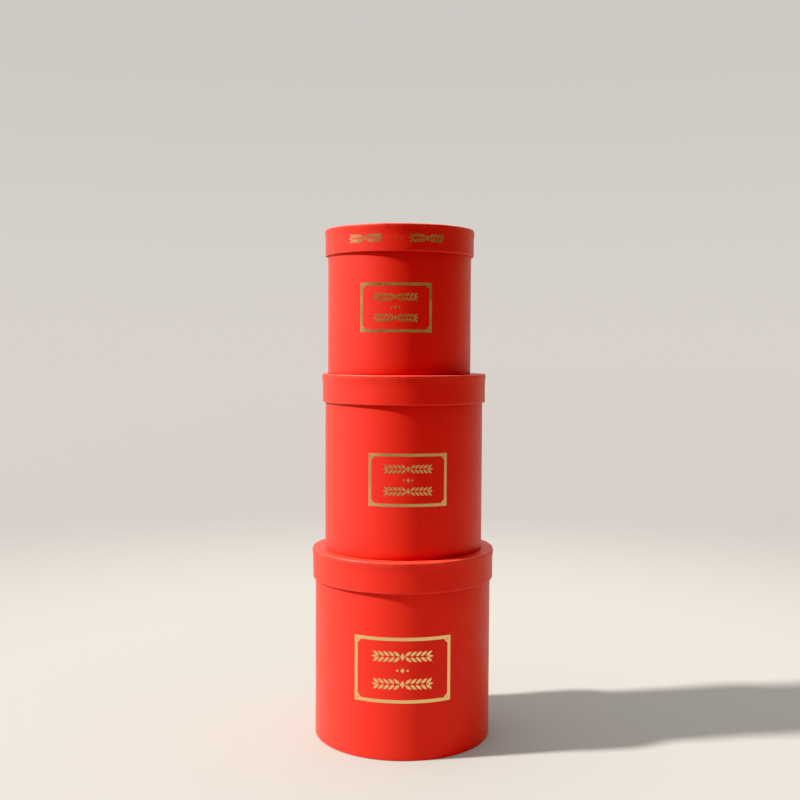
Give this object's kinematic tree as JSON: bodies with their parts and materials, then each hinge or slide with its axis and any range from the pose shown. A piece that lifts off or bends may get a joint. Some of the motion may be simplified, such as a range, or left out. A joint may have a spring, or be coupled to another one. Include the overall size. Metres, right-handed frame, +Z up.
{
  "type": "hat box",
  "caption": "Nesting set of round card hat boxes stacked large to small, each a paper-covered tube with an overlapping lift-off lid and a gold-framed label.",
  "frame": {"origin": "centre of the underside of the largest box, on the surface the stack stands on", "axes": "+Z up along the stack; the labels face -Y; +X is to the right of someone facing the labels"},
  "size_m": [0.2594, 0.2594, 0.7174],
  "materials": {
    "red_paper": "bright red book-covering paper, soft satin",
    "lining_paper": "plain warm white lining paper, matte",
    "greyboard": "raw grey chipboard, matte",
    "kraft_tape": "gummed kraft paper tape, matte",
    "gold_foil": "hot-stamped gold foil, satin"
  },
  "bodies": {
    "large_box": {"large_wall_board": "greyboard", "large_wall_joint_tape": "kraft_tape", "large_base_board": "greyboard", "large_outer_wrap": "red_paper", "large_base_paper": "red_paper", "large_wall_liner": "lining_paper", "large_floor_liner": "lining_paper", "large_label_frame": "gold_foil"},
    "large_lid": {"large_lid_board": "greyboard", "large_lid_rim_board": "greyboard", "large_lid_rim_joint_tape": "kraft_tape", "large_lid_top_paper": "red_paper", "large_lid_rim_wrap": "red_paper", "large_lid_liner": "lining_paper"},
    "medium_box": {"medium_wall_board": "greyboard", "medium_wall_joint_tape": "kraft_tape", "medium_base_board": "greyboard", "medium_outer_wrap": "red_paper", "medium_base_paper": "red_paper", "medium_wall_liner": "lining_paper", "medium_floor_liner": "lining_paper", "medium_label_frame": "gold_foil"},
    "medium_lid": {"medium_lid_board": "greyboard", "medium_lid_rim_board": "greyboard", "medium_lid_rim_joint_tape": "kraft_tape", "medium_lid_top_paper": "red_paper", "medium_lid_rim_wrap": "red_paper", "medium_lid_liner": "lining_paper"},
    "small_box": {"small_wall_board": "greyboard", "small_wall_joint_tape": "kraft_tape", "small_base_board": "greyboard", "small_outer_wrap": "red_paper", "small_base_paper": "red_paper", "small_wall_liner": "lining_paper", "small_floor_liner": "lining_paper", "small_label_frame": "gold_foil"},
    "small_lid": {"small_lid_board": "greyboard", "small_lid_rim_board": "greyboard", "small_lid_rim_joint_tape": "kraft_tape", "small_lid_top_paper": "red_paper", "small_lid_rim_wrap": "red_paper", "small_lid_liner": "lining_paper"}
  },
  "joints": [
    {"name": "large_lid_lift", "type": "slide", "parent": "large_box", "child": "large_lid", "axis": [0, 0, 1], "range_m": [0, 0.2]},
    {"name": "medium_box_lift", "type": "slide", "parent": "large_lid", "child": "medium_box", "axis": [0, 0, 1], "range_m": [0, 0.1]},
    {"name": "medium_lid_lift", "type": "slide", "parent": "medium_box", "child": "medium_lid", "axis": [0, 0, 1], "range_m": [0, 0.18]},
    {"name": "small_box_lift", "type": "slide", "parent": "medium_lid", "child": "small_box", "axis": [0, 0, 1], "range_m": [0, 0.1]},
    {"name": "small_lid_lift", "type": "slide", "parent": "small_box", "child": "small_lid", "axis": [0, 0, 1], "range_m": [0, 0.16]}
  ]
}
